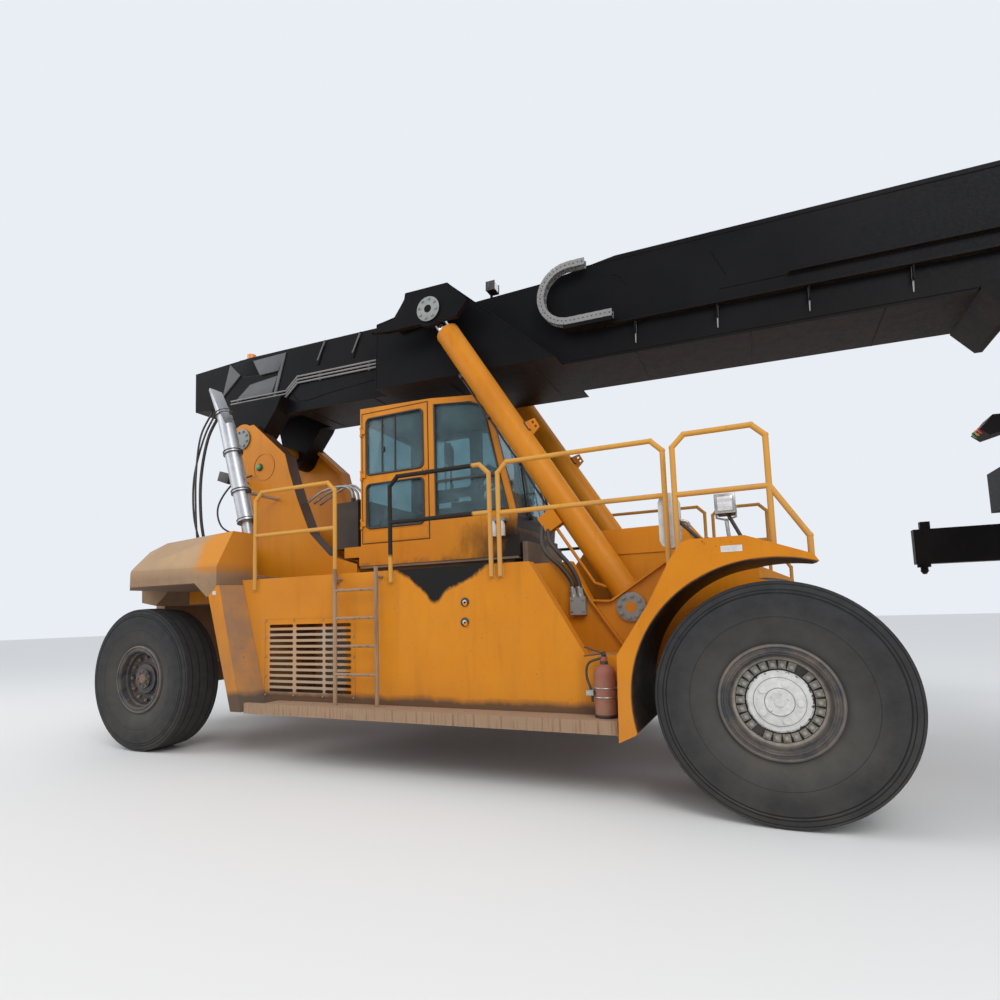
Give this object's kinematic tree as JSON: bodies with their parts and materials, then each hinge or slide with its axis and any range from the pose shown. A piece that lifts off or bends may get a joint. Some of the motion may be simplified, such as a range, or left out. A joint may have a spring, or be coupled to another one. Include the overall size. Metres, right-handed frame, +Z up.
{
  "type": "reach stacker",
  "caption": "Reach stacker for shipping containers with a telescopic boom, lift cylinders, a centre cab and an extending spreader.",
  "frame": {"origin": "on the ground under the middle of the bounding box", "axes": "X forward along the boom, Y to the driver's left, Z up"},
  "size_m": [12.3095, 6.053, 5.4012],
  "materials": {
    "yellow_paint": "golden yellow paint, dusty, with rust specks",
    "dusty_paint": "paint under a coat of brown dust",
    "black_paint": "satin black paint, dusty below",
    "white_paint": "chipped white paint on the hub and rims",
    "red_paint": "dusty red paint",
    "grey_metal": "grey painted metal",
    "exhaust_steel": "silver coated exhaust tube",
    "chrome_rod": "chromed piston rod",
    "tyre_rubber": "dusty tyre rubber",
    "hose_rubber": "black hose rubber",
    "cab_glass": "bluish tinted glass",
    "seat_fabric": "dark woven seat cover",
    "dark_plastic": "matt dark plastic"
  },
  "bodies": {
    "chassis": {"chassis_frame": "yellow_paint", "front_frame": "yellow_paint", "boom_tower": "yellow_paint", "rear_hood": "yellow_paint", "engine_block": "grey_metal", "valve_block": "dark_plastic", "cab_front": "black_paint", "tank_right": "yellow_paint", "tank_left": "yellow_paint", "step_right": "dusty_paint", "step_left": "dusty_paint", "front_fender_right": "yellow_paint", "front_fender_left": "yellow_paint", "handrails_right": "dusty_paint", "handrails_left": "dusty_paint", "deck": "yellow_paint", "exhaust_stack": "exhaust_steel", "cab_shell": "yellow_paint", "cab_glass": "cab_glass", "cab_seat": "seat_fabric", "cab_console": "dark_plastic", "drive_axle": "black_paint", "steer_axle": "black_paint", "lamps_mirrors": "dark_plastic", "fire_extinguisher": "red_paint", "lift_hoses": "hose_rubber"},
    "cab_door_leaf": {"cab_door": "yellow_paint", "door_glass": "cab_glass"},
    "drive_wheel_right": {"drive_tyres_right": "tyre_rubber", "drive_rims_right": "grey_metal", "drive_hub_right": "white_paint"},
    "drive_wheel_left": {"drive_tyres_left": "tyre_rubber", "drive_rims_left": "grey_metal", "drive_hub_left": "white_paint"},
    "knuckle_right": {"steer_knuckle_right": "black_paint"},
    "knuckle_left": {"steer_knuckle_left": "black_paint"},
    "steer_wheel_right": {"steer_tyre_right": "tyre_rubber", "steer_rim_right": "dusty_paint"},
    "steer_wheel_left": {"steer_tyre_left": "tyre_rubber", "steer_rim_left": "dusty_paint"},
    "boom": {"boom_outer": "black_paint", "boom_pipes": "grey_metal", "cable_chain": "dark_plastic"},
    "inner_boom": {"boom_inner": "black_paint"},
    "barrel_right": {"lift_barrel_right": "yellow_paint"},
    "barrel_left": {"lift_barrel_left": "yellow_paint"},
    "rod_right": {"lift_rod_right": "chrome_rod"},
    "rod_left": {"lift_rod_left": "chrome_rod"},
    "head": {"spreader_head": "black_paint"},
    "carriage": {"spreader_carriage": "black_paint"},
    "beam": {"spreader_beam": "black_paint"},
    "arm_right": {"spreader_arm_right": "black_paint"},
    "arm_left": {"spreader_arm_left": "black_paint"}
  },
  "joints": [
    {"name": "drive_wheel_right_spin", "type": "hinge", "parent": "chassis", "child": "drive_wheel_right", "pos_m": [1.94025, -1.83, 0.825], "axis": [0, 1, 0], "continuous": true},
    {"name": "steer_right", "type": "hinge", "parent": "chassis", "child": "knuckle_right", "pos_m": [-4.80975, -1.22, 0.825], "axis": [0, 0, 1], "range_deg": [-40, 40]},
    {"name": "steer_wheel_right_spin", "type": "hinge", "parent": "knuckle_right", "child": "steer_wheel_right", "pos_m": [-4.80975, -1.64, 0.825], "axis": [0, 1, 0], "continuous": true},
    {"name": "lift_barrel_right_lean", "type": "hinge", "parent": "chassis", "child": "barrel_right", "pos_m": [0.79025, -0.83, 1.5], "axis": [0, -1, 0], "range_deg": [0, 6]},
    {"name": "lift_rod_right_slide", "type": "slide", "parent": "barrel_right", "child": "rod_right", "axis": [-0.5255, 0, 0.8508], "range_m": [0, 3.25]},
    {"name": "drive_wheel_left_spin", "type": "hinge", "parent": "chassis", "child": "drive_wheel_left", "pos_m": [1.94025, 1.83, 0.825], "axis": [0, 1, 0], "continuous": true},
    {"name": "steer_left", "type": "hinge", "parent": "chassis", "child": "knuckle_left", "pos_m": [-4.80975, 1.22, 0.825], "axis": [0, 0, 1], "range_deg": [-40, 40]},
    {"name": "steer_wheel_left_spin", "type": "hinge", "parent": "knuckle_left", "child": "steer_wheel_left", "pos_m": [-4.80975, 1.64, 0.825], "axis": [0, 1, 0], "continuous": true},
    {"name": "lift_barrel_left_lean", "type": "hinge", "parent": "chassis", "child": "barrel_left", "pos_m": [0.79025, 0.83, 1.5], "axis": [0, -1, 0], "range_deg": [0, 6]},
    {"name": "lift_rod_left_slide", "type": "slide", "parent": "barrel_left", "child": "rod_left", "axis": [-0.5255, 0, 0.8508], "range_m": [0, 3.25]},
    {"name": "cab_door_swing", "type": "hinge", "parent": "chassis", "child": "cab_door_leaf", "pos_m": [-2.48675, -0.666, 2.73], "axis": [0, 0, -1], "range_deg": [0, 90]},
    {"name": "boom_lift", "type": "hinge", "parent": "chassis", "child": "boom", "pos_m": [-4.45975, 0, 3.95], "axis": [0, -1, 0], "range_deg": [0, 60]},
    {"name": "boom_extend", "type": "slide", "parent": "boom", "child": "inner_boom", "axis": [0.9995, 0, -0.0314], "range_m": [0, 6.2]},
    {"name": "head_swing", "type": "hinge", "parent": "inner_boom", "child": "head", "pos_m": [4.92025, 0, 3.7], "axis": [0, 1, 0], "range_deg": [-10, 62]},
    {"name": "spreader_turn", "type": "hinge", "parent": "head", "child": "carriage", "pos_m": [4.92025, 0, 3.2], "axis": [0, 0, 1], "range_deg": [-95, 185]},
    {"name": "side_shift", "type": "slide", "parent": "carriage", "child": "beam", "axis": [0, -1, 0], "range_m": [-0.8, 0.8]},
    {"name": "arm_right_extend", "type": "slide", "parent": "beam", "child": "arm_right", "axis": [0, -1, 0], "range_m": [0, 3.048]},
    {"name": "arm_left_extend", "type": "slide", "parent": "beam", "child": "arm_left", "axis": [0, 1, 0], "range_m": [0, 3.048]}
  ],
  "couplings": [
    {"joint": "steer_left", "follows": "steer_right", "ratio": 1},
    {"joint": "arm_left_extend", "follows": "arm_right_extend", "ratio": 1},
    {"joint": "lift_barrel_right_lean", "follows": "boom_lift", "ratio": 0.08},
    {"joint": "lift_barrel_left_lean", "follows": "boom_lift", "ratio": 0.08},
    {"joint": "lift_rod_right_slide", "follows": "boom_lift", "m_per_rad": 3.07},
    {"joint": "lift_rod_left_slide", "follows": "boom_lift", "m_per_rad": 3.07}
  ]
}
